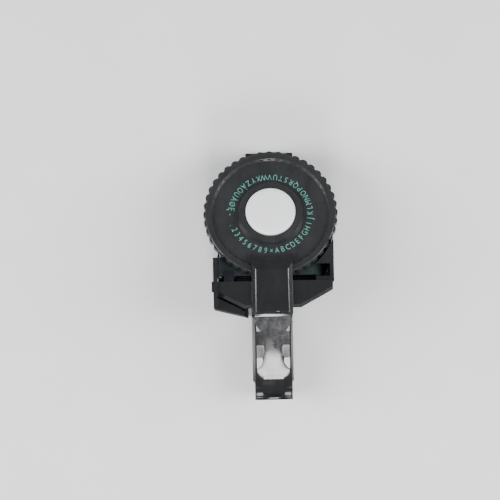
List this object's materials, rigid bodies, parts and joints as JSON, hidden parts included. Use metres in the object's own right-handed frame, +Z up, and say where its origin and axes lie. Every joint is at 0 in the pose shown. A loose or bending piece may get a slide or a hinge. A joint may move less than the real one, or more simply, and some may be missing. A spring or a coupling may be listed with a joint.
{
  "type": "embossing label maker",
  "caption": "Squeeze-type embossing label maker with a tilted character dial, a trigger lever, a nose over the dial, a cut button and a tape drum behind.",
  "frame": {"origin": "middle of the footprint on the surface it lies on", "axes": "+X right, +Y from the trigger towards the dial, +Z up out of the back it lies on"},
  "size_m": [0.0614, 0.1145, 0.0455],
  "materials": {
    "black_gloss": "polished injection moulding",
    "dial_black": "semi-gloss, printed characters",
    "button_black": "polished injection moulding",
    "inner_plastic": "unpolished moulding",
    "cap_white": "satin",
    "steel": "bright zinc",
    "spring_steel": "blued spring steel",
    "rubber": "matt",
    "tape": "glossy vinyl",
    "core_plastic": "moulded"
  },
  "bodies": {
    "housing": {"anvil_plate": "steel", "axle_screw": "steel", "cut_spring": "spring_steel", "cutter_anvil": "steel", "detent_spring": "spring_steel", "dial_axle": "steel", "door_hinge_pin": "steel", "front_housing": "black_gloss", "handle_cover": "black_gloss", "handle_screws": "steel", "housing_screws": "steel", "nose_cover": "black_gloss", "pressure_leaf": "spring_steel", "rear_housing": "black_gloss", "roll_plate": "inner_plastic", "tape_leader": "tape", "thrust_washers": "steel", "trigger_pin": "steel", "trigger_spring": "spring_steel"},
    "dial": {"character_wheel": "dial_black", "finger_wheel": "inner_plastic", "dial_hub": "inner_plastic", "dial_cap": "cap_white"},
    "trigger_lever": {"trigger": "black_gloss", "hammer": "steel", "feed_pawl": "spring_steel"},
    "cutter": {"cut_button": "button_black", "cutter_blade": "steel"},
    "feed": {"feed_shaft": "steel", "feed_roller": "rubber", "ratchet_wheel": "steel"},
    "roll": {"tape_roll": "tape", "roll_core": "core_plastic"},
    "door": {"magazine_door": "black_gloss"}
  },
  "joints": [
    {"name": "dial_turn", "type": "hinge", "parent": "housing", "child": "dial", "pos_m": [0, 0.02829, 0.031], "axis": [0, 0.3584, 0.9336], "continuous": true},
    {"name": "trigger_squeeze", "type": "hinge", "parent": "housing", "child": "trigger_lever", "pos_m": [0, -0.01006, 0.0371], "axis": [1, 0, 0], "range_deg": [0, 11], "stiffness_Nm_per_rad": 0.5, "springref_deg": -14.32, "deforming": ["trigger_spring"]},
    {"name": "cut_press", "type": "slide", "parent": "housing", "child": "cutter", "axis": [0, 0, -1], "range_m": [0, 0.0035], "stiffness_N_per_m": 400, "springref_m": -0.002, "deforming": ["cut_spring"]},
    {"name": "feed_turn", "type": "hinge", "parent": "housing", "child": "feed", "pos_m": [-0.0196, 0.00028, 0.03533], "axis": [0, 0.9336, -0.3584], "continuous": true},
    {"name": "roll_turn", "type": "hinge", "parent": "housing", "child": "roll", "pos_m": [0, 0.02829, 0.0069], "axis": [0, 0, 1], "continuous": true},
    {"name": "door_open", "type": "hinge", "parent": "housing", "child": "door", "pos_m": [0, 0.05549, 0.0016], "axis": [1, 0, 0], "range_deg": [0, 100]}
  ],
  "couplings": [
    {"joint": "feed_turn", "follows": "roll_turn", "ratio": 8}
  ]
}
